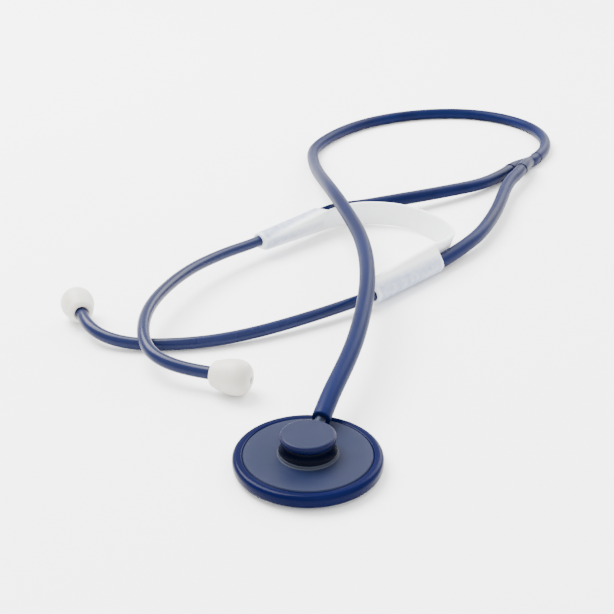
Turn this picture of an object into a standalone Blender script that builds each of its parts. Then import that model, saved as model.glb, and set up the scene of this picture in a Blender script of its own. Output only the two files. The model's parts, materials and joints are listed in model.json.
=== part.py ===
# Single-head stethoscope with crossed ear tubes, lying on a table.
# Metres, +Z up. The origin is the middle of the listening face, on the table,
# and +Y points from the chestpiece to the far end of the tubing loop.
import math

import bmesh
import bpy
import numpy as np
from mathutils import Matrix, Vector

# Clearances
GAP = 0.0003               # between pieces that touch or fit

# Chestpiece
RIM_RADIUS = 0.02225
RIM_WALL = 0.0028          # radial thickness of the retaining rim
RIM_HEIGHT = 0.0049
RIM_TAPER = 0.0033         # how far the rim's underside draws in towards the table
LIP_WIDTH = 0.0046         # how far the rim's lip reaches in under the diaphragm
LIP_THICKNESS = 0.0006
DIAPHRAGM_THICKNESS = 0.0005
PLATE_TOP = 0.0050         # height of the flat back
PLATE_THICKNESS = 0.0014
SKIRT_WIDTH = 0.0016       # wall of the body that presses on the diaphragm's edge
HUB_ROOF = 0.00035         # wall over the stem's bore where the stem leaves the hub
HUB_TOP_RADIUS = 0.0079
HUB_FOOT_RADIUS = 0.0088
HUB_FOOT_HEIGHT = 0.0010
CHANNEL_RADIUS = 0.0018    # upright sound channel in the hub
CAP_RADIUS = 0.00825
CAP_THICKNESS = 0.0018
CAP_EDGE = 0.0009          # rounded edge of the cap
CAP_PLUG = 0.0008          # length of the cap's plug in the channel
STEM_RADIUS = 0.0016
STEM_BORE = 0.0010
STEM_INSIDE = 0.0042       # from the hub's axis to the stem's inner end

# Tubing
HOSE_RADIUS = 0.0030
HOSE_SPACING = 0.0080      # distance between the points along a hose
Y_RADIUS = 0.00305
Y_BORE = 0.0016
Y_LEG = 0.0080             # straight end of each leg
EAR_TUBE_RADIUS = 0.00225
EAR_TUBE_BORE = 0.00125
EAR_TUBE_LENGTH = 0.1570
EAR_ROUTE_LENGTH = 0.1570  # tube length that the two ear routes below are drawn for
EAR_TUBE_SPACING = 0.0045
EAR_TUBE_SEAT = 0.0070     # length that sits in the ear tip

# Ear tips
TIP_LENGTH = 0.0140
TIP_RADIUS = 0.0061
TIP_COLLAR_RADIUS = 0.0036
TIP_END_RADIUS = 0.0019
TIP_HOLE = 0.0011

# Leaf spring: a thin band and its two sleeves
BAND_THICKNESS = 0.0013
BAND_HEIGHT = 0.0112
SLEEVE_WALL = 0.00060      # at the hose end
SLEEVE_EAR_WALL = 0.00095  # at the ear tube's end
NARROW_BORE = 0.0080       # length of bore that grips the ear tube
TAIL_START = 0.0015        # bare sleeve before the tail begins
TAIL_FULL = 0.0040         # from the ear tube's end to where the tail has its own height
# The tail's reach below and above the sleeve's axis, at its start, where it is full and at the hose end
LEFT_TAIL = [(0.0030, 0.0030), (0.0038, 0.0034), (0.0056, 0.0066)]
RIGHT_TAIL = [(0.0030, 0.0059), (0.0036, 0.0061), (0.0053, 0.0075)]
ARM_PIVOT = (0.0505, 0.1860, 0.0060)
LEFT_AXIS = (0.40, 0.0, 0.917)
RIGHT_AXIS = (0.0, 0.0, 1.0)

# Routes of the free tubes, in mm
MAIN_ROUTE = [
    (3.9, 13.0, 8.4), (6.93, 23.1, 10.6), (11.4, 37.0, 12.6), (15.4, 51.3, 14.3), (18.7, 67.9, 15.9),
    (21.2, 86.7, 17.2), (22.3, 103.6, 17.8), (22.2, 122.5, 18.0), (20.6, 141.3, 18.0),
    (17.8, 159.2, 17.8), (14.7, 175.8, 17.6), (11.5, 193.8, 16.6),
    (8.0, 218.1, 13.6), (4.7, 249.1, 8.8), (2.9, 279.7, 4.9), (4.2, 303.0, 3.2), (10.8, 321.0, 3.1),
    (21.9, 339.6, 3.1), (35.6, 354.9, 3.1), (53.8, 367.4, 3.1), (71.5, 374.1, 3.1),
    (86.1, 376.0, 3.1), (99.4, 374.4, 3.1), (111.8, 368.9, 3.1), (122.9, 358.7, 3.1),
    (130.6, 345.2, 3.1), (134.0, 328.9, 3.1), (132.8, 311.6, 3.1), (128.2, 297.0, 3.1),
    (123.0, 287.0, 3.1),
]
LEFT_BRANCH = [
    (105.0, 265.8, 3.3), (100.4, 259.0, 3.4), (94.2, 250.8, 3.6), (86.0, 241.4, 4.1),
    (75.2, 232.7, 4.8), (64.2, 225.3, 5.4), (53.8, 218.7, 5.9), (43.7, 212.5, 6.4),
    (33.3, 206.3, 6.8), (21.8, 200.2, 7.2), (12.6, 195.6, 7.5), (6.6, 189.6, 7.6),
]
RIGHT_BRANCH = [
    (109.0, 256.6, 6.5), (105.6, 249.2, 6.6), (101.2, 240.6, 6.5), (94.8, 223.7, 6.0),
    (88.7, 204.2, 5.6), (82.0, 186.3, 5.4), (74.8, 170.7, 5.2), (67.2, 158.7, 4.9),
    (60.2, 149.6, 4.4), (55.6, 144.1, 4.2),
]
LEFT_SLEEVE = [(4.7, 187.3, 7.6), (-20.8, 157.4, 7.6)]       # hose end, ear tube's end
RIGHT_SLEEVE = [(53.2, 141.4, 4.2), (24.9, 109.2, 4.6)]
LEFT_EAR = [
    (-25.4, 152.0, 7.8), (-31.6, 144.6, 8.4), (-38.1, 135.8, 9.0), (-44.0, 126.0, 9.7),
    (-49.2, 114.8, 10.3), (-53.5, 102.6, 10.7), (-56.6, 90.1, 10.9), (-57.8, 78.6, 10.8),
    (-57.2, 67.9, 10.3), (-55.1, 59.5, 9.4), (-51.1, 53.2, 8.4), (-45.2, 49.2, 7.4),
    (-38.4, 46.7, 6.7), (-31.7, 44.6, 6.5),
]
RIGHT_EAR = [
    (20.0, 105.0, 4.6), (13.6, 100.4, 4.4), (5.1, 94.6, 4.1), (-4.9, 88.4, 3.7),
    (-14.8, 82.9, 3.3), (-24.6, 78.5, 2.9), (-34.4, 75.3, 2.6), (-44.4, 73.3, 2.5),
    (-54.2, 72.6, 2.5), (-63.0, 73.2, 2.8), (-70.0, 74.9, 3.6), (-75.5, 78.0, 4.6),
    (-80.0, 83.1, 5.7), (-83.2, 90.0, 6.2),
]
# The band between the sleeves: its middle line in mm, its height as a share, and how its top leans in x and y
BAND_ROUTE = [
    (14.4, 190.3, 6.45, 0.99, 0.24, -0.18), (21.8, 193.9, 6.3, 1.0, 0.10, -0.14),
    (31.0, 195.0, 6.1, 0.985, 0.0, -0.04), (41.2, 192.7, 6.0, 0.97, 0.0, 0.0),
    (50.0, 186.0, 6.0, 0.97, 0.02, 0.0), (56.8, 176.4, 6.0, 0.97, 0.08, 0.0),
    (60.4, 165.6, 6.1, 0.98, 0.20, -0.04), (60.2, 156.8, 6.3, 1.0, 0.28, -0.14),
    (56.0, 149.6, 6.6, 1.03, 0.30, -0.22),
]
BAND_ROUTE_OFFSET = 0.0041 # the tails' distance from the sleeves' axes that the band's route is drawn for
BAND_FOLLOW = (1.0, 0.8, 0.5)   # how far the band's points nearest a sleeve move with its tail
LEFT_LEAN = math.radians(25)
RIGHT_LEAN = math.radians(20)

HEAD_SEGMENTS = 72
TUBE_SIDES = 14
LEG_SIDES = 17             # not the run's number, so that the two meshes share no edges
TIP_SEGMENTS = 32
FACE_STEPS = 8             # points across the tail's outer face
FLANK_STEPS = 4
BACK_STEPS = 10


def clear_scene():
    for obj in list(bpy.data.objects):
        bpy.data.objects.remove(obj, do_unlink=True)


def plastic(name, colour, roughness, metallic=0.0):
    material = bpy.data.materials.new(name)
    material.use_nodes = True
    shader = material.node_tree.nodes["Principled BSDF"]
    shader.inputs["Base Color"].default_value = (*colour, 1.0)
    shader.inputs["Roughness"].default_value = roughness
    shader.inputs["Metallic"].default_value = metallic
    return material


def metres(point):
    return Vector(point[:3]) / 1000


def smooth_line(points, spacing, start=None, end=None):
    """Points about one spacing apart on the natural cubic curve through the given points.
    start and end, where given, are the directions the curve sets out and arrives in."""
    knots = np.array([tuple(p) for p in points], float)
    spans = np.linalg.norm(np.diff(knots, axis=0), axis=1)
    count = len(knots)
    system = np.zeros((count, count))
    right = np.zeros_like(knots)
    for i in range(1, count - 1):
        before, after = spans[i - 1], spans[i]
        system[i, i - 1:i + 2] = after, 2 * (before + after), before
        right[i] = 3 * (
            after * (knots[i] - knots[i - 1]) / before + before * (knots[i + 1] - knots[i]) / after
        )
    if start is None:
        system[0, :2] = 2, 1
        right[0] = 3 * (knots[1] - knots[0]) / spans[0]
    else:
        system[0, 0] = 1
        right[0] = start
    if end is None:
        system[-1, -2:] = 1, 2
        right[-1] = 3 * (knots[-1] - knots[-2]) / spans[-1]
    else:
        system[-1, -1] = 1
        right[-1] = end
    slopes = np.linalg.solve(system, right)
    fine = []
    for i, span in enumerate(spans):
        for t in np.linspace(0, 1, 24, endpoint=False):
            a = (1 + 2 * t) * (1 - t) ** 2
            b = t * (1 - t) ** 2 * span
            c = t * t * (3 - 2 * t)
            d = t * t * (t - 1) * span
            fine.append(a * knots[i] + b * slopes[i] + c * knots[i + 1] + d * slopes[i + 1])
    fine.append(knots[-1])
    fine = np.array(fine)
    run = np.concatenate([[0], np.cumsum(np.linalg.norm(np.diff(fine, axis=0), axis=1))])
    steps = max(2, round(run[-1] / spacing))
    at = np.linspace(0, run[-1], steps + 1)
    return [Vector([np.interp(s, run, fine[:, k]) for k in range(3)]) for s in at]


def line_length(points):
    return sum((b - a).length for a, b in zip(points, points[1:]))


def new_object(name, mesh, material):
    mesh.materials.append(material)
    obj = bpy.data.objects.new(name, mesh)
    bpy.context.scene.collection.objects.link(obj)
    return obj


def finish_mesh(name, bm, material, sharp=35):
    """A closed bmesh as an object, its faces outwards and its round faces smooth."""
    bmesh.ops.recalc_face_normals(bm, faces=bm.faces)
    mesh = bpy.data.meshes.new(name)
    bm.to_mesh(mesh)
    bm.free()
    mesh.shade_smooth()
    mesh.set_sharp_from_angle(angle=math.radians(sharp))
    return new_object(name, mesh, material)


def turned(name, profile, segments, material, place=None):
    """A closed outline of (radius, height) turned about Z, then moved by place."""
    bm = bmesh.new()
    rings = []
    for radius, height in profile:
        if radius == 0:
            rings.append([bm.verts.new((0, 0, height))] * segments)
            continue
        angles = [2 * math.pi * i / segments for i in range(segments)]
        rings.append([bm.verts.new((radius * math.cos(a), radius * math.sin(a), height)) for a in angles])
    for lower, upper in zip(rings, rings[1:] + rings[:1]):
        for i in range(segments):
            j = (i + 1) % segments
            corners = list(dict.fromkeys([lower[i], lower[j], upper[j], upper[i]]))
            if len(corners) > 2:
                bm.faces.new(corners)
    if place is not None:
        bmesh.ops.transform(bm, matrix=place, verts=bm.verts)
    return finish_mesh(name, bm, material)


def along(start, direction):
    """The placing matrix whose Z runs along direction from start."""
    turn = direction.to_track_quat("Z", "Y").to_matrix().to_4x4()
    return Matrix.Translation(start) @ turn


def frames(points):
    """(point, side, up) along a line, carried without twist."""
    tangents = []
    for i in range(len(points)):
        tangents.append((points[min(i + 1, len(points) - 1)] - points[max(i - 1, 0)]).normalized())
    side = tangents[0].orthogonal().normalized()
    found = []
    for point, tangent in zip(points, tangents):
        side = (side - tangent * side.dot(tangent)).normalized()
        found.append((point, side, tangent.cross(side)))
    return found


def ring_of(bm, frame, radius, sides):
    point, side, up = frame
    angles = [2 * math.pi * i / sides for i in range(sides)]
    return [bm.verts.new(point + (side * math.cos(a) + up * math.sin(a)) * radius) for a in angles]


def bridge(bm, first, second):
    for i in range(len(first)):
        j = (i + 1) % len(first)
        bm.faces.new((first[i], first[j], second[j], second[i]))


def swept_tube(name, points, radius, bore, sides, material):
    """A tube along points, hollow from end to end where bore isn't 0."""
    bm = bmesh.new()
    stations = frames(points)
    outer = [ring_of(bm, frame, radius, sides) for frame in stations]
    for first, second in zip(outer, outer[1:]):
        bridge(bm, first, second)
    if not bore:
        bm.faces.new(outer[0])
        bm.faces.new(outer[-1])
        return finish_mesh(name, bm, material)
    inner = [ring_of(bm, frame, bore, sides) for frame in stations]
    for first, second in zip(inner, inner[1:]):
        bridge(bm, first, second)
    bridge(bm, outer[0], inner[0])
    bridge(bm, outer[-1], inner[-1])
    return finish_mesh(name, bm, material)


def hose(name, points, material):
    curve = bpy.data.curves.new(name, "CURVE")
    curve.dimensions = "3D"
    curve.bevel_depth = HOSE_RADIUS
    curve.bevel_resolution = 3
    curve.use_fill_caps = True
    spline = curve.splines.new("POLY")
    spline.points.add(len(points) - 1)
    for target, point in zip(spline.points, points):
        target.co = (*point, 1)
    curve.materials.append(material)
    obj = bpy.data.objects.new(name, curve)
    bpy.context.scene.collection.objects.link(obj)
    return obj


def as_helper(obj):
    obj.hide_render = True
    obj.display_type = "WIRE"
    return obj


def combine(obj, other, operation):
    modifier = obj.modifiers.new(other.name, "BOOLEAN")
    modifier.operation = operation
    modifier.object = as_helper(other)
    modifier.solver = "EXACT"


def hang_on(pivot_name, place, axis, pieces, parent=None):
    """An empty on a joint's axis that carries the pieces."""
    pivot = bpy.data.objects.new(pivot_name, None)
    pivot.empty_display_size = 0.01
    pivot.matrix_world = along(Vector(place), Vector(axis).normalized())
    bpy.context.scene.collection.objects.link(pivot)
    world = pivot.matrix_world.copy()
    if parent is not None:
        pivot.parent = parent
        pivot.matrix_parent_inverse = parent.matrix_basis.inverted()
    for piece in pieces:
        piece.parent = pivot
        piece.matrix_parent_inverse = world.inverted()
    return pivot


def stem_line():
    """The line of the hose's first stretch: where it meets the hub's axis, its direction and its length."""
    first, second = metres(MAIN_ROUTE[0]), metres(MAIN_ROUTE[1])
    out = (second - first).normalized()
    reach = Vector((first.x, first.y)).length / Vector((out.x, out.y)).length
    return first - out * reach, out, reach


def hub_height():
    """The hub's top, which leaves a thin wall over the stem where it comes out of the hub's side."""
    origin, out, reach = stem_line()
    level = Vector((out.x, out.y)).length
    return origin.z + (HUB_TOP_RADIUS * out.z + STEM_RADIUS + GAP) / level + HUB_ROOF


def build_chestpiece(blue, grey, steel, clear):
    body_radius = RIM_RADIUS - RIM_WALL - GAP
    flange_bottom = LIP_THICKNESS + GAP
    flange_top = flange_bottom + DIAPHRAGM_THICKNESS
    skirt_bottom = flange_top + GAP
    skirt_inner = body_radius - SKIRT_WIDTH
    plate_bottom = PLATE_TOP - PLATE_THICKNESS
    foot_top = PLATE_TOP + HUB_FOOT_HEIGHT
    hub_top = hub_height()
    bevel = 0.0003
    body = turned("chestpiece_body", [
        (CHANNEL_RADIUS, plate_bottom), (CHANNEL_RADIUS, hub_top),
        (HUB_TOP_RADIUS - bevel, hub_top), (HUB_TOP_RADIUS, hub_top - bevel),
        (HUB_FOOT_RADIUS - 2 * bevel, foot_top + bevel), (HUB_FOOT_RADIUS - bevel, foot_top),
        (HUB_FOOT_RADIUS, foot_top - bevel), (HUB_FOOT_RADIUS, PLATE_TOP + bevel),
        (HUB_FOOT_RADIUS + bevel, PLATE_TOP), (body_radius - bevel, PLATE_TOP),
        (body_radius, PLATE_TOP - bevel), (body_radius, skirt_bottom),
        (skirt_inner, skirt_bottom), (skirt_inner, plate_bottom - 2 * bevel),
    ], HEAD_SEGMENTS, grey)

    rim_inner = RIM_RADIUS - RIM_WALL
    lip_inner = RIM_RADIUS - LIP_WIDTH
    turned("diaphragm_rim", [
        (rim_inner, LIP_THICKNESS), (rim_inner, RIM_HEIGHT - 2 * bevel),
        (rim_inner + bevel, RIM_HEIGHT - bevel / 2), (rim_inner + RIM_WALL * 0.4, RIM_HEIGHT),
        (RIM_RADIUS - RIM_WALL * 0.3, RIM_HEIGHT - bevel),
        (RIM_RADIUS - RIM_WALL * 0.08, RIM_HEIGHT - RIM_WALL * 0.3), (RIM_RADIUS, RIM_HEIGHT - RIM_WALL * 0.5),
        (RIM_RADIUS, RIM_TAPER * 0.6), (RIM_RADIUS - RIM_TAPER * 0.36, RIM_TAPER * 0.32),
        (RIM_RADIUS - RIM_TAPER * 0.73, RIM_TAPER * 0.1), (RIM_RADIUS - RIM_TAPER, 0),
        (lip_inner, 0), (lip_inner, LIP_THICKNESS),
    ], HEAD_SEGMENTS, blue)

    step = lip_inner - GAP
    turned("diaphragm", [
        (0, 0), (step - 2 * bevel, 0), (step, bevel), (step, flange_bottom),
        (body_radius, flange_bottom), (body_radius, flange_top), (step - bevel, flange_top),
        (step - 3 * bevel, DIAPHRAGM_THICKNESS), (0, DIAPHRAGM_THICKNESS),
    ], HEAD_SEGMENTS, clear)

    cap_bottom = hub_top + GAP
    cap_top = cap_bottom + CAP_THICKNESS
    plug = CHANNEL_RADIUS - GAP
    edge = [
        (CAP_RADIUS - CAP_EDGE + CAP_EDGE * math.sin(a), cap_top - CAP_EDGE + CAP_EDGE * math.cos(a))
        for a in (math.radians(d) for d in (90, 60, 30, 0))
    ]
    turned("hub_cap", [
        (0, cap_bottom - CAP_PLUG), (plug, cap_bottom - CAP_PLUG), (plug, cap_bottom),
        (CAP_RADIUS, cap_bottom), *edge, (0, cap_top),
    ], HEAD_SEGMENTS, grey)

    origin, out, reach = stem_line()
    place = along(origin, out)
    stem_end = reach - GAP
    turned("tube_stem", [
        (STEM_BORE, STEM_INSIDE), (STEM_RADIUS, STEM_INSIDE), (STEM_RADIUS, stem_end), (STEM_BORE, stem_end),
    ], TIP_SEGMENTS, steel, place)
    bore = turned("stem_bore_cutter", [
        (0, STEM_INSIDE - GAP), (STEM_RADIUS + GAP, STEM_INSIDE - GAP),
        (STEM_RADIUS + GAP, stem_end), (0, stem_end),
    ], TIP_SEGMENTS, steel, place)
    combine(body, bore, "DIFFERENCE")
    names = ("chestpiece_body", "diaphragm_rim", "diaphragm", "hub_cap", "tube_stem")
    head = [bpy.data.objects[name] for name in names]
    hang_on("head_swivel_pivot", origin, out, head)


def build_y_connector(blue, main, left, right):
    """A moulded Y whose straight run joins the main and left hoses; the right leg leaves its side."""
    main_in = (main[-1] - main[-2]).normalized()
    left_out = (left[1] - left[0]).normalized()
    right_out = (right[1] - right[0]).normalized()
    run_start = main[-1] + main_in * GAP
    run_end = left[0] - left_out * GAP
    leg_end = right[0] - right_out * GAP
    # Both ends of each leg run straight, so that their faces stay parallel to the hoses' ends.
    first, last = run_start + main_in * Y_LEG / 2, run_end - left_out * Y_LEG / 2
    run = [run_start, *smooth_line([first, last], Y_LEG / 4, main_in, left_out), run_end]
    middle = run[len(run) // 3]
    leg = [*smooth_line([middle, leg_end - right_out * Y_LEG / 2], Y_LEG / 4, None, right_out), leg_end]
    body = swept_tube("y_connector", run, Y_RADIUS, 0, TUBE_SIDES, blue)
    combine(body, swept_tube("y_leg_form", leg, Y_RADIUS, 0, LEG_SIDES, blue), "UNION")
    through = [run[0] - main_in * GAP, *run, run[-1] + left_out * GAP]
    combine(body, swept_tube("y_run_cutter", through, Y_BORE, 0, TUBE_SIDES, blue), "DIFFERENCE")
    side = [*leg, leg[-1] + right_out * GAP]
    combine(body, swept_tube("y_leg_cutter", side, Y_BORE, 0, LEG_SIDES, blue), "DIFFERENCE")


def sleeve_frame(ends, lean, side):
    """(ear end, direction to the hose end, normal to the tail, up along the tail)."""
    hose_end, ear_end = metres(ends[0]), metres(ends[1])
    out = (hose_end - ear_end).normalized()
    across = out.cross(Vector((0, 0, 1))).normalized() * side
    up = out.cross(across) * side
    if up.z < 0:
        up = -up
    # The band's top leans the same way on both sleeves, so one tail leans in and the other out.
    normal = (across * math.cos(lean) - up * math.sin(lean) * side).normalized()
    tail_up = (up * math.cos(lean) + across * math.sin(lean) * side).normalized()
    return ear_end, out, normal, tail_up, (hose_end - ear_end).length


def tail_offset():
    return HOSE_RADIUS + GAP + SLEEVE_WALL / 4 + BAND_THICKNESS / 2


def sleeve_outline(radius, middle, below, above):
    """(across, up) points round the convex shape that holds a circle and the flat tail beside it."""
    inner, outer = middle - BAND_THICKNESS / 2, middle + BAND_THICKNESS / 2
    points = []
    for i in range(FACE_STEPS + 1):
        points.append((outer, -below + (below + above) * i / FACE_STEPS))
    touch = []
    for height in (above, below):
        share = min(1.0, radius / math.hypot(inner, height))
        touch.append(math.atan2(height, inner) + math.acos(share))
    top = (radius * math.cos(touch[0]), radius * math.sin(touch[0]))
    bottom = (radius * math.cos(touch[1]), -radius * math.sin(touch[1]))
    for i in range(FLANK_STEPS):
        t = i / FLANK_STEPS
        points.append((inner + (top[0] - inner) * t, above + (top[1] - above) * t))
    for i in range(BACK_STEPS):
        angle = touch[0] + (2 * math.pi - touch[1] - touch[0]) * i / BACK_STEPS
        points.append((radius * math.cos(angle), radius * math.sin(angle)))
    for i in range(FLANK_STEPS + 1):
        t = i / FLANK_STEPS
        points.append((bottom[0] + (inner - bottom[0]) * t, bottom[1] + (-below - bottom[1]) * t))
    return points


def build_sleeve(name, ends, lean, side, tail, white):
    """A tapered sleeve with a stepped bore and, along its inner side, the flat tail that carries the band."""
    ear_end, out, normal, up, length = sleeve_frame(ends, lean, side)
    hose_bore = HOSE_RADIUS + GAP
    ear_bore = EAR_TUBE_RADIUS + GAP
    ear_outer = ear_bore + SLEEVE_EAR_WALL
    hose_outer = hose_bore + SLEEVE_WALL
    chamfer = 0.0003

    def section(at, reach):
        share = at / length
        radius = ear_outer + (hose_outer - ear_outer) * share
        flush = ear_outer - BAND_THICKNESS / 2
        return at, sleeve_outline(radius, flush + (tail_offset() - flush) * share, *reach)

    outer = [section(TAIL_START, tail[0]), section(TAIL_FULL, tail[1]), section(length, tail[2])]
    angles = [math.atan2(rise, across) for across, rise in outer[-1][1]]

    def circle(at, radius):
        return at, [(radius * math.cos(a), radius * math.sin(a)) for a in angles]

    sections = [circle(0, ear_outer - chamfer), circle(chamfer, ear_outer), *outer]
    sections += [circle(length, hose_bore), circle(NARROW_BORE + 0.0008, hose_bore)]
    sections += [circle(NARROW_BORE, ear_bore), circle(0, ear_bore)]
    bm = bmesh.new()
    rings = []
    for at, points in sections:
        rings.append([bm.verts.new(ear_end + out * at + normal * x + up * y) for x, y in points])
    for first, second in zip(rings, rings[1:] + rings[:1]):
        bridge(bm, first, second)
    return finish_mesh(name, bm, white)


def build_band(left, right, white):
    """The thin upright band bent into a U between the two sleeves' tails."""
    stations = []
    for frame, (below, above) in ((left, LEFT_TAIL[-1]), (right, RIGHT_TAIL[-1])):
        ear_end, out, normal, up, length = frame
        place = ear_end + out * (length + GAP) + normal * tail_offset() + up * (above - below) / 2
        stations.append((*place, below + above, up.x / up.z, up.y / up.z))
    between = [(*metres(knot), knot[3] * BAND_HEIGHT, knot[4], knot[5]) for knot in BAND_ROUTE]
    moved = tail_offset() - BAND_ROUTE_OFFSET
    for i, share in enumerate(BAND_FOLLOW):
        for index, frame in ((i, left), (-1 - i, right)):
            between[index] = (*(Vector(between[index][:3]) + frame[2] * moved * share), *between[index][3:])
    knots = [stations[0], *between, stations[1]]
    places = [Vector(k[:3]) for k in knots]
    line = smooth_line(places, 0.0035, left[1], -right[1])
    run = np.concatenate([[0], np.cumsum([(b - a).length for a, b in zip(places, places[1:])])])
    at = np.linspace(0, run[-1], len(line))
    height, lean_x, lean_y = (np.interp(at, run, [k[i] for k in knots]) for i in (3, 4, 5))
    bm = bmesh.new()
    rows = []
    for i, point in enumerate(line):
        before, after = line[max(i - 1, 0)], line[min(i + 1, len(line) - 1)]
        if i == 0:
            tangent = left[1]
        elif i == len(line) - 1:
            tangent = -right[1]
        else:
            tangent = (after - before).normalized()
        up = Vector((lean_x[i], lean_y[i], 1)).normalized()
        up = (up - tangent * up.dot(tangent)).normalized()
        side = tangent.cross(up)
        corners = []
        for depth, rise in ((-1, -1), (1, -1), (1, 1), (-1, 1)):
            out = side * (depth * BAND_THICKNESS / 2)
            corners.append(bm.verts.new(point + out + up * (rise * height[i] / 2)))
        rows.append(corners)
    for first, second in zip(rows, rows[1:]):
        bridge(bm, first, second)
    bm.faces.new(rows[0])
    bm.faces.new(rows[-1])
    return finish_mesh("spring_band", bm, white)


def build_ear_side(side_name, sleeve, route, blue, cream):
    """A rigid ear tube from inside its sleeve to its ear tip. Returns both and the tube's inner end."""
    hose_end, ear_end = metres(sleeve[0]), metres(sleeve[1])
    into = (hose_end - ear_end).normalized()
    scale = EAR_TUBE_LENGTH / EAR_ROUTE_LENGTH
    spread = Matrix.Diagonal((scale, scale, 1.0))
    places = [ear_end + spread @ (metres(point) - ear_end) for point in route]
    shown = smooth_line([ear_end, *places], EAR_TUBE_SPACING, -into)
    end_way = (shown[-1] - shown[-2]).normalized()
    inside = EAR_TUBE_LENGTH - EAR_TUBE_SEAT - line_length(shown)
    inner_end = ear_end + into * inside
    points = [inner_end, *shown, shown[-1] + end_way * EAR_TUBE_SEAT]
    tube = swept_tube(side_name + "_ear_tube", points, EAR_TUBE_RADIUS, EAR_TUBE_BORE, TUBE_SIDES, blue)
    place = along(shown[-1], end_way)
    seat = EAR_TUBE_RADIUS + GAP
    swell = TIP_RADIUS - TIP_COLLAR_RADIUS
    tip = turned(side_name + "_ear_tip", [
        (seat, 0), (TIP_COLLAR_RADIUS, 0), (TIP_COLLAR_RADIUS + swell * 0.22, TIP_LENGTH * 0.04),
        (TIP_COLLAR_RADIUS + swell * 0.5, TIP_LENGTH * 0.18),
        (TIP_COLLAR_RADIUS + swell * 0.8, TIP_LENGTH * 0.36),
        (TIP_RADIUS - swell * 0.04, TIP_LENGTH * 0.53), (TIP_RADIUS, TIP_LENGTH * 0.64),
        (TIP_RADIUS - swell * 0.2, TIP_LENGTH * 0.79), (TIP_RADIUS - swell * 0.62, TIP_LENGTH * 0.91),
        (TIP_RADIUS - swell * 1.2, TIP_LENGTH * 0.98), (TIP_END_RADIUS, TIP_LENGTH), (TIP_HOLE, TIP_LENGTH),
        (TIP_HOLE, EAR_TUBE_SEAT + GAP), (seat, EAR_TUBE_SEAT + GAP),
    ], TIP_SEGMENTS, cream, place)
    return tube, tip, inner_end, shown[-1], end_way


def branch_line(route, sleeve, tube_end):
    """From the Y connector into the sleeve, up to the ear tube's inner end."""
    hose_end, ear_end = metres(sleeve[0]), metres(sleeve[1])
    into = (ear_end - hose_end).normalized()
    return smooth_line([*map(metres, route), hose_end, tube_end - into * GAP], HOSE_SPACING * 2 / 3, None, into)


def build():
    clear_scene()
    hose_blue = plastic("hose_blue", (0.035, 0.062, 0.235), 0.38)
    rim_blue = plastic("rim_blue", (0.020, 0.048, 0.240), 0.22)
    head_grey = plastic("head_grey_blue", (0.115, 0.140, 0.220), 0.42)
    white = plastic("frosted_white", (0.78, 0.79, 0.80), 0.45)
    cream = plastic("tip_cream", (0.70, 0.69, 0.64), 0.5)
    steel = plastic("stem_steel", (0.60, 0.61, 0.63), 0.28, 1.0)
    clear = plastic("diaphragm_white", (0.75, 0.77, 0.80), 0.3)

    build_chestpiece(rim_blue, head_grey, steel, clear)

    left_tube, left_tip, left_inner, left_seat, left_way = build_ear_side(
        "left", LEFT_SLEEVE, LEFT_EAR, hose_blue, cream)
    right_tube, right_tip, right_inner, right_seat, right_way = build_ear_side(
        "right", RIGHT_SLEEVE, RIGHT_EAR, hose_blue, cream)

    main = smooth_line(map(metres, MAIN_ROUTE), HOSE_SPACING)
    left = branch_line(LEFT_BRANCH, LEFT_SLEEVE, left_inner)
    right = branch_line(RIGHT_BRANCH, RIGHT_SLEEVE, right_inner)
    hose("main_tube", main, hose_blue)
    hose("left_branch_tube", left, hose_blue)
    hose("right_branch_tube", right, hose_blue)
    build_y_connector(hose_blue, main, left, right)

    left_frame = sleeve_frame(LEFT_SLEEVE, LEFT_LEAN, 1)
    right_frame = sleeve_frame(RIGHT_SLEEVE, RIGHT_LEAN, -1)
    left_sleeve = build_sleeve("left_spring_sleeve", LEFT_SLEEVE, LEFT_LEAN, 1, LEFT_TAIL, white)
    right_sleeve = build_sleeve("right_spring_sleeve", RIGHT_SLEEVE, RIGHT_LEAN, -1, RIGHT_TAIL, white)
    build_band(left_frame, right_frame, white)

    pivot = Vector(ARM_PIVOT)
    left_arm = hang_on("left_arm_pivot", pivot, LEFT_AXIS, [left_sleeve, left_tube])
    right_arm = hang_on("right_arm_pivot", pivot, RIGHT_AXIS, [right_sleeve, right_tube])
    hang_on("left_tip_pivot", left_seat, left_way, [left_tip], left_arm)
    hang_on("right_tip_pivot", right_seat, right_way, [right_tip], right_arm)


build()
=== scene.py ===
import json
import math

import bmesh
import bpy
import numpy as np
from mathutils import Matrix, Vector


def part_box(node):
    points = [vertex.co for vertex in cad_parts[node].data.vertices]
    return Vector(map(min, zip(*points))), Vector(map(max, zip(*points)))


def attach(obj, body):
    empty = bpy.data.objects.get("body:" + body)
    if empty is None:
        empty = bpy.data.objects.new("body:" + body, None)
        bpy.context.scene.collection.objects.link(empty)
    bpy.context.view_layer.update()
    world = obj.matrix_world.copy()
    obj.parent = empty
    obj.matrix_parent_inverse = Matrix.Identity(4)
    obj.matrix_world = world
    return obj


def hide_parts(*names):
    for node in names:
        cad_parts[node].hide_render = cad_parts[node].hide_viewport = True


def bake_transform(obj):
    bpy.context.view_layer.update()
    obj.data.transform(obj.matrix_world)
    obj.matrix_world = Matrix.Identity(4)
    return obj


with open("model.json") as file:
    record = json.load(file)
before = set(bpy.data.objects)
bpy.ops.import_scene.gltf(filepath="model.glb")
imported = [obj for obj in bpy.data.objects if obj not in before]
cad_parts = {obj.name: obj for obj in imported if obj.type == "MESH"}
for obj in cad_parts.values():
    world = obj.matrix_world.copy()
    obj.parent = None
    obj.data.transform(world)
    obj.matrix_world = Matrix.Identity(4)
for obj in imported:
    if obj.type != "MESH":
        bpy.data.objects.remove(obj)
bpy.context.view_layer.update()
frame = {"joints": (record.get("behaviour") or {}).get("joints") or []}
joints = {joint["name"]: joint for joint in frame["joints"]}

# What a user would change.

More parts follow.
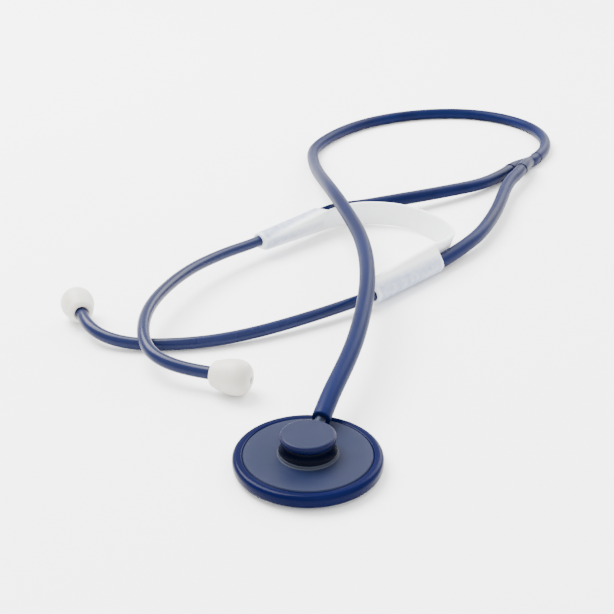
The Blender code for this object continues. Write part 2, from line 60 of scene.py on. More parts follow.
cameraLook = {
    "place": (-0.00029, -0.25865, 0.17658),
    "pitch": 25.69,              # degrees below the horizon
    "lens": 61.8,
}

light = {
    "keyPower": 62.0,
    "keySize": 0.9,
    "keyPlace": (-0.55, 0.55, 1.05),
    "fillPower": 4.0,
    "fillSize": 1.2,
    "fillPlace": (0.5, -0.7, 0.9),
    "backPower": 22.0,
    "backSize": 0.9,
    "backPlace": (0.75, 1.25, 0.85),
    "sky": 2.5,
    "aim": (0.02, 0.17, 0.0),
    "floorHalf": 6.0,
    "floorDrop": 0.0001,         # keeps the table just clear of the pieces that lie on it
    "floorColour": (0.97, 0.97, 0.972),
}

hoseLook = {
    "radius": 0.0030,
    "sides": 28,
    "spacing": 0.0030,
    "edge": 0.0005,              # rounding of the cut ends
    "deep": (0.0013, 0.0036, 0.0270),
    "pale": (0.0022, 0.0054, 0.0370),
    "dust": (0.012, 0.020, 0.07),
    "shine": 0.05,
    "scuff": 0.04,
    "speck": 0.06,
    "roughness": 0.40,
    "grain": 0.10,
}

earTubeLook = {
    "radius": 0.00225,
    "length": 0.1570,
    "seat": 0.0070,              # length that sits in the ear tip
    "sides": 24,
    "spacing": 0.0020,
    "edge": 0.0003,
    "deep": (0.0018, 0.0046, 0.031),
    "pale": (0.0028, 0.0062, 0.039),
    "shine": 0.15,
    "scuff": 0.0,
    "speck": 0.0,
    "roughness": 0.27,
    "grain": 0.04,
}

tipLook = {
    "length": 0.0140,
    "radius": 0.0061,
    "collar": 0.0036,
    "hole": 0.0011,
    "seatGap": 0.0001,           # between the tube and the tip's bore
    "segments": 64,
    "colour": (0.52, 0.51, 0.46),
    "warm": (0.42, 0.40, 0.335),
    "roughness": 0.47,
    "glow": 0.35,
}

springLook = {
    "bandThickness": 0.0013,
    "bandHeight": 0.0112,
    "earWall": 0.00095,
    "hoseWall": 0.00060,
    "gap": 0.0003,
    "tailStart": 0.0015,
    "tailFull": 0.0040,
    # The tail's reach below and above the sleeve's axis, at its start, where it is full and at the hose end.
    "leftTail": [(0.0030, 0.0030), (0.0038, 0.0034), (0.0056, 0.0066)],
    "rightTail": [(0.0030, 0.0059), (0.0036, 0.0061), (0.0053, 0.0075)],
    "grip": 0.0080,              # length of bore that grips the ear tube
    "voxel": 0.00028,
    "soften": 5,
    "colour": (0.72, 0.73, 0.745),
    "paintedHoseShade": (0.22, 0.27, 0.42),  # painted bluish shade where the hose shows through
    "paintedHoseShadeShare": 1.0,
    "roughness": 0.40,
    "glow": 0.30,
}

headLook = {
    "segments": 192,
    "rimWall": 0.0028,
    "rimTaper": 0.0033,          # how far the rim's underside draws in
    "plateTop": 0.0050,
    "plateBottom": 0.0036,
    "hubRadius": 0.0079,
    "footRadius": 0.0088,
    "footHeight": 0.0010,
    "channel": 0.0018,           # radius of the sound channel
    "stemRadius": 0.0016,
    "stemBore": 0.0010,
    "stemInside": 0.0042,        # where the stem starts, along its axis
    "stemHoleEnd": 0.0135,
    "capRound": 0.0009,
    "plate": (0.0048, 0.0080, 0.0270),
    "plateWorn": (0.0085, 0.0115, 0.0320),
    "plateShine": 0.10,
    "plateRoughness": 0.42,
    # hub: painted shade, the cap's blue plastic painted near-black where its side shows dark surroundings.
    "hub": (0.0003, 0.0008, 0.0050),
    # hubFootHighlight: a painted highlight line along the foot ring's outer edge.
    "hubFootHighlight": (0.030, 0.034, 0.048),
    "hubShine": 0.03,
    "hubRoughness": 0.26,
    "rim": (0.0001, 0.0013, 0.0210),
    "rimShine": 0.045,
    "rimRoughness": 0.22,
    # seam: painted shade for the gap under the hub cap.
    "seam": (0.002, 0.003, 0.008),
    "seamShine": 0.1,
    "seamRoughness": 0.6,
    "face": (0.74, 0.76, 0.79),
    "faceShine": 0.4,
    "faceRoughness": 0.35,
    "steel": (0.016, 0.019, 0.034),
    "steelRoughness": 0.36,
}

forkLook = {
    "radius": 0.00305,
    "sides": 32,
    "edge": 0.0003,
    "leg": 0.0080,
    "voxel": 0.00032,
    "soften": 7,
    "lip": 0.00022,              # how far the moulded lip at each end stands out
}

# Routes, in metres.

mainRoute = [
    (0.0039, 0.0130, 0.0084), (0.00693, 0.0231, 0.0106), (0.0114, 0.0370, 0.0126),
    (0.0154, 0.0513, 0.0143), (0.0187, 0.0679, 0.0159), (0.0212, 0.0867, 0.0172),
    (0.0223, 0.1036, 0.0178), (0.0222, 0.1225, 0.0180), (0.0206, 0.1413, 0.0180),
    (0.0178, 0.1592, 0.0178), (0.0147, 0.1758, 0.0176), (0.0115, 0.1938, 0.0166),
    (0.0080, 0.2181, 0.0136), (0.0047, 0.2491, 0.0088), (0.0029, 0.2797, 0.0049),
    (0.0042, 0.3030, 0.0032), (0.0108, 0.3210, 0.0031), (0.0219, 0.3396, 0.0031),
    (0.0356, 0.3549, 0.0031), (0.0538, 0.3674, 0.0031), (0.0715, 0.3741, 0.0031),
    (0.0861, 0.3760, 0.0031), (0.0994, 0.3744, 0.0031), (0.1118, 0.3689, 0.0031),
    (0.1229, 0.3587, 0.0031), (0.1306, 0.3452, 0.0031), (0.1340, 0.3289, 0.0031),
    (0.1328, 0.3116, 0.0031), (0.1282, 0.2970, 0.0031), (0.1230, 0.2870, 0.0031),
]
leftBranch = [
    (0.1050, 0.2658, 0.0033), (0.1004, 0.2590, 0.0034), (0.0942, 0.2508, 0.0036),
    (0.0860, 0.2414, 0.0041), (0.0752, 0.2327, 0.0048), (0.0642, 0.2253, 0.0054),
    (0.0538, 0.2187, 0.0059), (0.0437, 0.2125, 0.0064), (0.0333, 0.2063, 0.0068),
    (0.0218, 0.2002, 0.0072), (0.0126, 0.1956, 0.0075), (0.0066, 0.1896, 0.0076),
]
rightBranch = [
    (0.1090, 0.2566, 0.0065), (0.1056, 0.2492, 0.0066), (0.1012, 0.2406, 0.0065),
    (0.0948, 0.2237, 0.0060), (0.0887, 0.2042, 0.0056), (0.0820, 0.1863, 0.0054),
    (0.0748, 0.1707, 0.0052), (0.0672, 0.1587, 0.0049), (0.0602, 0.1496, 0.0044),
    (0.0556, 0.1441, 0.0042),
]
leftSleeve = [(0.0047, 0.1873, 0.0076), (-0.0208, 0.1574, 0.0076)]    # hose end, ear tube's end
rightSleeve = [(0.0532, 0.1414, 0.0042), (0.0249, 0.1092, 0.0046)]
leftEar = [
    (-0.0254, 0.1520, 0.0078), (-0.0316, 0.1446, 0.0084), (-0.0381, 0.1358, 0.0090),
    (-0.0440, 0.1260, 0.0097), (-0.0492, 0.1148, 0.0103), (-0.0535, 0.1026, 0.0107),
    (-0.0566, 0.0901, 0.0109), (-0.0578, 0.0786, 0.0108), (-0.0572, 0.0679, 0.0103),
    (-0.0551, 0.0595, 0.0094), (-0.0511, 0.0532, 0.0084), (-0.0452, 0.0492, 0.0074),
    (-0.0384, 0.0467, 0.0067), (-0.0317, 0.0446, 0.0065),
]
rightEar = [
    (0.0200, 0.1050, 0.0046), (0.0136, 0.1004, 0.0044), (0.0051, 0.0946, 0.0041),
    (-0.0049, 0.0884, 0.0037), (-0.0148, 0.0829, 0.0033), (-0.0246, 0.0785, 0.0029),
    (-0.0344, 0.0753, 0.0026), (-0.0444, 0.0733, 0.0025), (-0.0542, 0.0726, 0.0025),
    (-0.0630, 0.0732, 0.0028), (-0.0700, 0.0749, 0.0036), (-0.0755, 0.0780, 0.0046),
    (-0.0800, 0.0831, 0.0057), (-0.0832, 0.0900, 0.0062),
]
# The band between the sleeves: its middle line, its height as a share, and how its top leans in x and y.
bandRoute = [
    (0.0144, 0.1903, 0.00645, 0.99, 0.24, -0.18), (0.0218, 0.1939, 0.00630, 1.0, 0.1, -0.14),
    (0.0310, 0.1950, 0.00610, 0.985, 0.0, -0.04), (0.0412, 0.1927, 0.00600, 0.97, 0.0, 0.0),
    (0.0500, 0.1860, 0.00600, 0.97, 0.02, 0.0), (0.0568, 0.1764, 0.00600, 0.97, 0.08, 0.0),
    (0.0604, 0.1656, 0.00610, 0.98, 0.2, -0.04), (0.0602, 0.1568, 0.00630, 1.0, 0.28, -0.14),
    (0.0560, 0.1496, 0.00660, 1.03, 0.3, -0.22),
]
leftLean = math.radians(25)
rightLean = math.radians(20)

# Camera first.

cameraData = bpy.data.cameras.new("view")
cameraData.lens = cameraLook["lens"]
cameraData.sensor_width = 36
cameraData.clip_start = 0.01
camera = bpy.data.objects.new("view", cameraData)
camera.location = cameraLook["place"]
camera.rotation_euler = (math.radians(90 - cameraLook["pitch"]), 0, 0)
bpy.context.scene.collection.objects.link(camera)
bpy.context.scene.camera = camera

# Lines and meshes.


def smoothLine(points, spacing, start=None, end=None):
    # Evenly spaced points on the natural cubic curve through the given ones.
    knots = np.array([tuple(p) for p in points], float)
    spans = np.linalg.norm(np.diff(knots, axis=0), axis=1)
    count = len(knots)
    system = np.zeros((count, count))
    right = np.zeros_like(knots)
    for i in range(1, count - 1):
        before, after = spans[i - 1], spans[i]
        system[i, i - 1:i + 2] = after, 2 * (before + after), before
        right[i] = 3 * (
            after * (knots[i] - knots[i - 1]) / before + before * (knots[i + 1] - knots[i]) / after
        )
    if start is None:
        system[0, :2] = 2, 1
        right[0] = 3 * (knots[1] - knots[0]) / spans[0]
    else:
        system[0, 0] = 1
        right[0] = start
    if end is None:
        system[-1, -2:] = 1, 2
        right[-1] = 3 * (knots[-1] - knots[-2]) / spans[-1]
    else:
        system[-1, -1] = 1
        right[-1] = end
    slopes = np.linalg.solve(system, right)
    fine = []
    for i, span in enumerate(spans):
        for t in np.linspace(0, 1, 24, endpoint=False):
            a = (1 + 2 * t) * (1 - t) ** 2
            b = t * (1 - t) ** 2 * span
            c = t * t * (3 - 2 * t)
            d = t * t * (t - 1) * span
            fine.append(a * knots[i] + b * slopes[i] + c * knots[i + 1] + d * slopes[i + 1])
    fine.append(knots[-1])
    fine = np.array(fine)
    run = np.concatenate([[0], np.cumsum(np.linalg.norm(np.diff(fine, axis=0), axis=1))])
    steps = max(2, round(run[-1] / spacing))
    at = np.linspace(0, run[-1], steps + 1)
    return [Vector([np.interp(s, run, fine[:, k]) for k in range(3)]) for s in at]


def lineLength(points):
    return sum((b - a).length for a, b in zip(points, points[1:]))


def placeAlong(start, direction):
    turn = direction.to_track_quat("Z", "Y").to_matrix().to_4x4()
    return Matrix.Translation(start) @ turn


def addObject(name, mesh, material, smooth=True, sharp=40):
    mesh.name = name
    mesh.materials.clear()
    mesh.materials.append(material)
    if smooth:
        mesh.shade_smooth()
        mesh.set_sharp_from_angle(angle=math.radians(sharp))
    obj = bpy.data.objects.new(name, mesh)
    bpy.context.scene.collection.objects.link(obj)
    return obj


def meshOf(bm):
    bmesh.ops.recalc_face_normals(bm, faces=bm.faces)
    mesh = bpy.data.meshes.new("piece")
    bm.to_mesh(mesh)
    bm.free()
    return mesh


def bridge(bm, first, second):
    for i in range(len(first)):
        j = (i + 1) % len(first)
        bm.faces.new((first[i], first[j], second[j], second[i]))


def turnedMesh(profile, segments, place=None):
    # A closed outline of (radius, height) turned about Z, then moved by place.
    bm = bmesh.new()
    rings = []
    for radius, height in profile:
        if radius == 0:
            rings.append([bm.verts.new((0, 0, height))] * segments)
            continue
        angles = [2 * math.pi * i / segments for i in range(segments)]
        rings.append([bm.verts.new((radius * math.cos(a), radius * math.sin(a), height)) for a in angles])
    for lower, upper in zip(rings, rings[1:] + rings[:1]):
        for i in range(segments):
            j = (i + 1) % segments
            corners = list(dict.fromkeys([lower[i], lower[j], upper[j], upper[i]]))
            if len(corners) > 2:
                bm.faces.new(corners)
    if place is not None:
        bmesh.ops.transform(bm, matrix=place, verts=bm.verts)
    return meshOf(bm)


def arc(centre, radius, first, last, steps):
    # Points of a rounded edge in an outline; angles in degrees from the outward radius.
    found = []
    for i in range(steps + 1):
        angle = math.radians(first + (last - first) * i / steps)
        found.append((centre[0] + radius * math.cos(angle), centre[1] + radius * math.sin(angle)))
    return found


def applied(obj):
    # The object's mesh with its modifiers in it.
    graph = bpy.context.evaluated_depsgraph_get()
    mesh = bpy.data.meshes.new_from_object(obj.evaluated_get(graph))
    obj.modifiers.clear()
    return mesh


def helperOf(mesh):
    obj = bpy.data.objects.new("helper", mesh)
    bpy.context.scene.collection.objects.link(obj)
    return obj


def cutBy(obj, cutters):
    helpers = [helperOf(mesh) for mesh in cutters]
    for helper in helpers:
        modifier = obj.modifiers.new("cut", "BOOLEAN")
        modifier.operation = "DIFFERENCE"
        modifier.solver = "EXACT"
        modifier.object = helper
    mesh = applied(obj)
    obj.data = mesh
    for helper in helpers:
        bpy.data.objects.remove(helper)


def melted(meshes, voxel, soften):
    # The meshes as one skin with soft inner corners.
    bm = bmesh.new()
    for mesh in meshes:
        bm.from_mesh(mesh)
    joined = bpy.data.meshes.new("joined")
    bm.to_mesh(joined)
    bm.free()
    obj = helperOf(joined)
    remesh = obj.modifiers.new("skin", "REMESH")
    remesh.mode = "VOXEL"
    remesh.voxel_size = voxel
    smoothing = obj.modifiers.new("soft", "SMOOTH")
    smoothing.factor = 0.5
    smoothing.iterations = soften
    mesh = applied(obj)
    bpy.data.objects.remove(obj)
    return mesh


# Tube shape as Geometry Nodes.


class NodeMaths:
    # A socket that adds, multiplies and so on by making Math nodes.
    kind = "ShaderNodeMath"

    def __init__(self, tree, socket):
        self.tree = tree
        self.socket = socket

    def node(self, kind, settings=None, **sockets):
        made = self.tree.nodes.new(kind)
        for key, value in (settings or {}).items():
            setattr(made, key, value)
        for key, value in sockets.items():
            target = made.inputs[int(key[1:])] if key[0] == "i" and key[1:].isdigit() else made.inputs[key]
            self.feed(target, value)
        return made

    def feed(self, target, value):
        if isinstance(value, NodeMaths):
            self.tree.links.new(value.socket, target)
        elif isinstance(value, bpy.types.NodeSocket):
            self.tree.links.new(value, target)
        elif target.type == "RGBA" and len(value) == 3:
            target.default_value = (*value, 1)
        else:
            target.default_value = value

    def maths(self, operation, first, second=0.0):
        made = self.node(self.kind, {"operation": operation}, i0=first, i1=second)
        return type(self)(self.tree, made.outputs[0])

    def __add__(self, other):
        return self.maths("ADD", self, other)

    def __radd__(self, other):
        return self.maths("ADD", other, self)

    def __sub__(self, other):
        return self.maths("SUBTRACT", self, other)

    def __rsub__(self, other):
        return self.maths("SUBTRACT", other, self)

    def __mul__(self, other):
        return self.maths("MULTIPLY", self, other)

    def __rmul__(self, other):
        return self.maths("MULTIPLY", other, self)

    def __truediv__(self, other):
        return self.maths("DIVIDE", self, other)

    def __rtruediv__(self, other):
        return self.maths("DIVIDE", other, self)

    def __pow__(self, other):
        return self.maths("POWER", self, other)

    def least(self, other):
        return self.maths("MINIMUM", self, other)

    def most(self, other):
        return self.maths("MAXIMUM", self, other)

    def step(self, low, high):
        # 0 below low and 1 above high, smooth between them.
        made = self.node("ShaderNodeMapRange", {"interpolation_type": "SMOOTHSTEP"}, Value=self)
        made.inputs["From Min"].default_value = low
        made.inputs["From Max"].default_value = high
        return type(self)(self.tree, made.outputs["Result"])


def makeTubeGroup():
    # A round tube along a line of points, its end edges rounded off.
    group = bpy.data.node_groups.new("tubeAlongLine", "GeometryNodeTree")
    face = group.interface
    face.new_socket("Line", in_out="INPUT", socket_type="NodeSocketGeometry")
    face.new_socket("Radius", in_out="INPUT", socket_type="NodeSocketFloat")
    face.new_socket("Sides", in_out="INPUT", socket_type="NodeSocketInt")
    face.new_socket("Edge", in_out="INPUT", socket_type="NodeSocketFloat")
    face.new_socket("Material", in_out="INPUT", socket_type="NodeSocketMaterial")
    face.new_socket("Tube", in_out="OUTPUT", socket_type="NodeSocketGeometry")
    given = group.nodes.new("NodeGroupInput")
    result = group.nodes.new("NodeGroupOutput")
    maths = NodeMaths(group, given.outputs["Edge"])
    curve = maths.node("GeometryNodeMeshToCurve", Mesh=given.outputs["Line"])
    along = NodeMaths(group, maths.node("GeometryNodeSplineParameter").outputs["Length"])
    whole = NodeMaths(group, maths.node("GeometryNodeSplineLength").outputs["Length"])
    fromEnd = (along.least(whole - along) / given.outputs["Edge"]).least(1.0)
    inside = 1.0 - fromEnd
    shrink = 1.0 - (1.0 - (1.0 - inside * inside).most(0.0) ** 0.5) * (
        NodeMaths(group, given.outputs["Edge"]) / given.outputs["Radius"])
    ring = maths.node(
        "GeometryNodeCurvePrimitiveCircle", {"mode": "RADIUS"},
        Resolution=given.outputs["Sides"], Radius=given.outputs["Radius"],
    )
    body = maths.node("GeometryNodeCurveToMesh", Curve=curve.outputs[0], Scale=shrink)
    group.links.new(ring.outputs[0], body.inputs["Profile Curve"])
    body.inputs["Fill Caps"].default_value = True
    real = maths.node("GeometryNodeRealizeInstances", Geometry=body.outputs[0])
    painted = maths.node(
        "GeometryNodeSetMaterial", Geometry=real.outputs[0], Material=given.outputs["Material"])
    group.links.new(painted.outputs[0], result.inputs[0])
    return group


def tubeMesh(group, points, radius, sides, edge, material):
    # Extra points close to both ends carry the rounded edges.
    line = list(points)
    for flip in (False, True):
        line = line[::-1] if flip else line
        way = (line[1] - line[0]).normalized()
        close = [line[0] + way * edge * share for share in (0.12, 0.3, 0.6, 1.0)]
        line = [line[0], *close, *line[1:]]
    line = line[::-1]
    mesh = bpy.data.meshes.new("line")
    mesh.from_pydata([tuple(p) for p in line], [(i, i + 1) for i in range(len(line) - 1)], [])
    holder = helperOf(mesh)
    modifier = holder.modifiers.new("tube", "NODES")
    modifier.node_group = group
    sockets = {item.name: item.identifier for item in group.interface.items_tree if item.in_out == "INPUT"}
    modifier[sockets["Radius"]] = radius
    modifier[sockets["Sides"]] = sides
    modifier[sockets["Edge"]] = edge
    modifier[sockets["Material"]] = material
    tube = applied(holder)
    bpy.data.objects.remove(holder)
    return tube


tubeGroup = makeTubeGroup()

# Materials.


def newMaterial(name):
    material = bpy.data.materials.new(name)
    material.use_nodes = True
    tree = material.node_tree
    shader = tree.nodes["Principled BSDF"]
    place = tree.nodes.new("ShaderNodeTexCoord").outputs["Object"]
    return material, shader, NodeMaths(tree, place)


def noise(maths, scale, detail=4.0, stretch=(1, 1, 1)):
    mapped = maths.node("ShaderNodeMapping", Vector=maths)
    mapped.inputs["Scale"].default_value = stretch
    made = maths.node("ShaderNodeTexNoise", Vector=mapped.outputs[0], Scale=scale, Detail=detail)
    return NodeMaths(maths.tree, made.outputs["Fac"])


def mixed(maths, share, first, second):
    made = maths.node("ShaderNodeMix", {"data_type": "RGBA"})
    maths.feed(made.inputs["Factor"], share)
    maths.feed(made.inputs[6], first)
    maths.feed(made.inputs[7], second)
    return made.outputs[2]


def radiusOf(place):
    parts = place.node("ShaderNodeSeparateXYZ", Vector=place)
    across = NodeMaths(place.tree, parts.outputs[0])
    deep = NodeMaths(place.tree, parts.outputs[1])
    return (across * across + deep * deep) ** 0.5


def bumped(maths, shader, height, strength, distance):
    made = maths.node("ShaderNodeBump", Height=height, Strength=strength, Distance=distance)
    maths.feed(shader.inputs["Normal"], made.outputs[0])


def vinylMaterial(name, look):
    # Satin plastic: slow tone changes, a few scuffs and specks of dust, and a fine grain.
    material, shader, place = newMaterial(name)
    slow = noise(place, 45.0, 3.0)
    scuffs = noise(place, 420.0, 5.0).step(0.60, 0.72)
    specks = noise(place, 2600.0, 2.0).step(0.74, 0.80)
    colour = mixed(place, slow.step(0.35, 0.65), look["deep"], look["pale"])
    dust = look.get("dust", look["pale"])
    marks = (scuffs * look["scuff"] + specks * look["speck"]).least(1.0)
    colour = mixed(place, marks, colour, dust)
    place.feed(shader.inputs["Base Color"], colour)
    rough = look["roughness"] + (slow - 0.5) * 0.12 + scuffs * look["scuff"] + specks * look["speck"]
    place.feed(shader.inputs["Roughness"], rough)
    shader.inputs["Specular IOR Level"].default_value = look["shine"]
    bumped(place, shader, noise(place, 3200.0, 3.0) * look["grain"] + slow * 0.5, 0.35, 0.00012)
    return material


def plateMaterial(name, edge=None):
    # Coated metal: turned rings so fine that they only blur the shine, and cloudy wear. Given an edge radius,
    # all beyond it is painted the rim's deep blue, so the cap's rounded edge and flat top are painted as
    # differently lit copies of one finish.
    material, shader, place = newMaterial(name)
    clouds = noise(place, 70.0, 4.0)
    rubbed = noise(place, 260.0, 6.0).step(0.56, 0.70)
    radius = radiusOf(place)
    outward = place.node("ShaderNodeCombineXYZ", X=radius)
    rings = noise(NodeMaths(place.tree, outward.outputs[0]), 5200.0, 2.0)
    share = clouds.step(0.35, 0.70) * 0.55 + rubbed * 0.30 + rings * 0.12
    colour = mixed(place, share.least(1.0), headLook["plate"], headLook["plateWorn"])
    # painted light: the cap's rounded edge in the rim's blue, the flat top in the plate's lighter tone
    if edge is not None:
        colour = mixed(place, radius.step(edge, edge + 0.0003), colour, headLook["rim"])
    place.feed(shader.inputs["Base Color"], colour)
    rough = headLook["plateRoughness"] + (clouds - 0.5) * 0.14 + rubbed * 0.06
    place.feed(shader.inputs["Roughness"], rough)
    place.feed(shader.inputs["Metallic"], rubbed * 0.05)
    shader.inputs["Specular IOR Level"].default_value = headLook["plateShine"]
    bumped(place, shader, rings * 0.6 + clouds * 0.4, 0.25, 0.00006)
    return material


def glossMaterial(name, colour, roughness, shine, edge=None):
    material, shader, place = newMaterial(name)
    slow = noise(place, 60.0, 3.0)
    marks = noise(place, 900.0, 4.0).step(0.62, 0.72)
    lighter = tuple(min(1.0, c * 1.4 + 0.0001) for c in colour)
    share = slow.step(0.3, 0.7) * 0.5 + marks * 0.04
    tone = mixed(place, share, colour, lighter)
    # Beyond the edge radius the colour is a painted highlight line, used on the hub's foot ring.
    if edge is not None:
        tone = mixed(place, radiusOf(place).step(edge - 0.0002, edge), tone, headLook["hubFootHighlight"])
    place.feed(shader.inputs["Base Color"], tone)
    place.feed(shader.inputs["Roughness"], roughness + (slow - 0.5) * 0.08 + marks * 0.03)
    shader.inputs["Specular IOR Level"].default_value = shine
    bumped(place, shader, slow * 0.6 + noise(place, 1800.0) * 0.1, 0.2, 0.0001)
    return material


def frostedMaterial(name):
    # Milky plastic. The attribute hoseNear is 1 where the blue tube lies just under the surface; there the
    # colour is mixed towards a painted bluish shade that stands in for the hose showing through.
    material, shader, place = newMaterial(name)
    attribute = place.node("ShaderNodeAttribute", {"attribute_name": "hoseNear"})
    near = NodeMaths(place.tree, attribute.outputs["Fac"])
    flow = noise(place, 90.0, 3.0)
    cloud = noise(place, 380.0, 4.0)
    duller = tuple(c * 0.93 for c in springLook["colour"])
    colour = mixed(place, flow.step(0.3, 0.7) * 0.5, springLook["colour"], duller)
    # painted shade: bluish where the hose shows through, broken up by cloud
    paintedHoseShade = near * (0.75 + (cloud - 0.5) * 0.9) * springLook["paintedHoseShadeShare"]
    colour = mixed(place, paintedHoseShade.least(1.0).most(0.0), colour, springLook["paintedHoseShade"])
    place.feed(shader.inputs["Base Color"], colour)
    place.feed(shader.inputs["Roughness"], springLook["roughness"] + (cloud - 0.5) * 0.2)
    shader.inputs["Subsurface Weight"].default_value = springLook["glow"]
    shader.inputs["Subsurface Radius"].default_value = (0.003, 0.003, 0.0034)
    shader.inputs["Subsurface Scale"].default_value = 1.0
    shader.inputs["Specular IOR Level"].default_value = 0.35
    bumped(place, shader, cloud * 0.5 + noise(place, 2400.0) * 0.2, 0.3, 0.0001)
    return material


def softTipMaterial(name):
    # Soft vinyl, a little warmer where fingers and ears have been.
    material, shader, place = newMaterial(name)
    clouds = noise(place, 130.0, 4.0)
    specks = noise(place, 1500.0, 2.0).step(0.70, 0.78)
    share = clouds.step(0.40, 0.75) * 0.55 + specks * 0.25
    place.feed(shader.inputs["Base Color"], mixed(place, share, tipLook["colour"], tipLook["warm"]))
    place.feed(shader.inputs["Roughness"], tipLook["roughness"] + (clouds - 0.5) * 0.15)
    shader.inputs["Subsurface Weight"].default_value = tipLook["glow"]
    shader.inputs["Subsurface Radius"].default_value = (0.004, 0.0035, 0.0028)
    shader.inputs["Subsurface Scale"].default_value = 1.0
    bumped(place, shader, clouds * 0.5 + noise(place, 2600.0) * 0.25, 0.3, 0.00012)
    return material


def steelMaterial(name):
    material, shader, place = newMaterial(name)
    brushed = noise(place, 900.0, 3.0, (1, 0.15, 1))
    spots = noise(place, 500.0, 4.0).step(0.6, 0.75)
    dull = tuple(c * 0.72 for c in headLook["steel"])
    colour = mixed(place, brushed * 0.4 + spots * 0.4, headLook["steel"], dull)
    place.feed(shader.inputs["Base Color"], colour)
    place.feed(shader.inputs["Roughness"], headLook["steelRoughness"] + brushed * 0.16 + spots * 0.1)
    shader.inputs["Metallic"].default_value = 1.0
    bumped(place, shader, brushed, 0.15, 0.00005)
    return material


def floorMaterial():
    material, shader, place = newMaterial("paleTable")
    slow = noise(place, 6.0, 3.0)
    darker = tuple(c * 0.985 for c in light["floorColour"])
    place.feed(shader.inputs["Base Color"], mixed(place, slow, light["floorColour"], darker))
    shader.inputs["Roughness"].default_value = 0.75
    shader.inputs["Specular IOR Level"].default_value = 0.15
    return material


def radiusInCad(node):
    low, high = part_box(node)
    return (high.x - low.x) / 2


hoseMaterial = vinylMaterial("hoseVinyl", hoseLook)
earMaterial = vinylMaterial("earTubePlastic", earTubeLook)
plateCoat = plateMaterial("headCoat")
capCoat = plateMaterial("capCoat", radiusInCad("hub_cap") - headLook["capRound"])
rimGloss = glossMaterial("rimGloss", headLook["rim"], headLook["rimRoughness"], headLook["rimShine"])
frosted = frostedMaterial("frostedPlastic")
tipVinyl = softTipMaterial("tipVinyl")
steel = steelMaterial("stemSteel")
facePlastic = glossMaterial(
    "diaphragmPlastic", headLook["face"], headLook["faceRoughness"], headLook["faceShine"])
capGapShade = glossMaterial("capGapShade", headLook["seam"], headLook["seamRoughness"], headLook["seamShine"])
hubPaintedShadeAndHighlight = glossMaterial(
    "hubPaintedShadeAndHighlight", headLook["hub"], headLook["hubRoughness"], headLook["hubShine"], headLook["footRadius"])
print("materials made")

# Hoses.

spring = springLook
stemJoint = joints["head_swivel"]
stemAxis = Vector(stemJoint["axis"]).normalized()
stemRoot = Vector(stemJoint["pos_m"])


def sleeveAxis(ends):
    hoseEnd, earEnd = Vector(ends[0]), Vector(ends[1])
    return earEnd, (hoseEnd - earEnd).normalized(), (hoseEnd - earEnd).length


def earLine(ends, route):
    # The rigid tube's line: its inner end in the sleeve, what shows, and its end in the tip.
    earEnd, out, _ = sleeveAxis(ends)
    shown = smoothLine([earEnd, *map(Vector, route)], earTubeLook["spacing"], -out)
    way = (shown[-1] - shown[-2]).normalized()
    inside = earTubeLook["length"] - earTubeLook["seat"] - lineLength(shown)
    innerEnd = earEnd + out * inside
    return [innerEnd, *shown, shown[-1] + way * earTubeLook["seat"]], innerEnd, shown[-1], way


leftLine, leftInner, leftSeat, leftWay = earLine(leftSleeve, leftEar)
rightLine, rightInner, rightSeat, rightWay = earLine(rightSleeve, rightEar)


def branchLine(route, ends, innerEnd):
    _, out, _ = sleeveAxis(ends)
    target = innerEnd + out * spring["gap"]
    return smoothLine([*map(Vector, route), Vector(ends[0]), target], hoseLook["spacing"], None, -out)


mainLine = smoothLine(map(Vector, mainRoute), hoseLook["spacing"])
leftHoseLine = branchLine(leftBranch, leftSleeve, leftInner)
rightHoseLine = branchLine(rightBranch, rightSleeve, rightInner)


def makeHose(name, line, replaced, body=None, blend=None):
    mesh = tubeMesh(tubeGroup, line, hoseLook["radius"], hoseLook["sides"], hoseLook["edge"], hoseMaterial)
    hose = addObject(name, mesh, hoseMaterial, sharp=50)
    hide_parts(replaced)
    if blend:
        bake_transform(hose)
    else:
        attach(hose, body)


makeHose("mainHose", mainLine, "main_tube", body="tubing")
makeHose("leftHose", leftHoseLine, "left_branch_tube",
         blend=("tubing", "left_arm", leftBranch[1], leftBranch[-1]))
makeHose("rightHose", rightHoseLine, "right_branch_tube",
         blend=("tubing", "right_arm", rightBranch[1], rightBranch[-1]))
print("hoses made")

# Y connector.


def makeFork():
    # A moulded Y with a raised lip at each end, melted into one skin.
    mainIn = (mainLine[-1] - mainLine[-2]).normalized()
    leftOut = (leftHoseLine[1] - leftHoseLine[0]).normalized()
    rightOut = (rightHoseLine[1] - rightHoseLine[0]).normalized()
    gap = spring["gap"] * 0.5
    runStart = mainLine[-1] + mainIn * gap
    runEnd = leftHoseLine[0] - leftOut * gap
    legEnd = rightHoseLine[0] - rightOut * gap
    half = forkLook["leg"] / 2
    run = [runStart, *smoothLine(
        [runStart + mainIn * half, runEnd - leftOut * half], half / 2, mainIn, leftOut), runEnd]
    middle = run[len(run) // 3]
    leg = [*smoothLine([middle, legEnd - rightOut * half], half / 2, None, rightOut), legEnd]
    radius = forkLook["radius"]
    meshes = [
        tubeMesh(tubeGroup, line, radius, forkLook["sides"], forkLook["edge"], hoseMaterial)
        for line in (run, leg)
    ]
    skin = melted(meshes, forkLook["voxel"], forkLook["soften"])
    fork = addObject("yConnector", skin, hoseMaterial, sharp=60)
    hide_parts("y_connector")
    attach(fork, "tubing")
    lip = forkLook["lip"]
    for name, end, way in (
            ("yLipMain", runStart, -mainIn), ("yLipLeft", runEnd, leftOut), ("yLipRight", legEnd, rightOut)):
        outline = [
            (radius - 0.0010, -0.0012), (radius - 0.0001, -0.0012), *arc((radius, -0.0005), lip, 60, -10, 5),
            (radius + lip * 0.8, 0.00005), (radius - 0.0003, 0.00012), (radius - 0.0010, 0.00012),
        ]
        ring = addObject(name, turnedMesh(outline, 48, placeAlong(end, way)), hoseMaterial)
        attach(ring, "tubing")


makeFork()
print("connector made")

# Chestpiece.


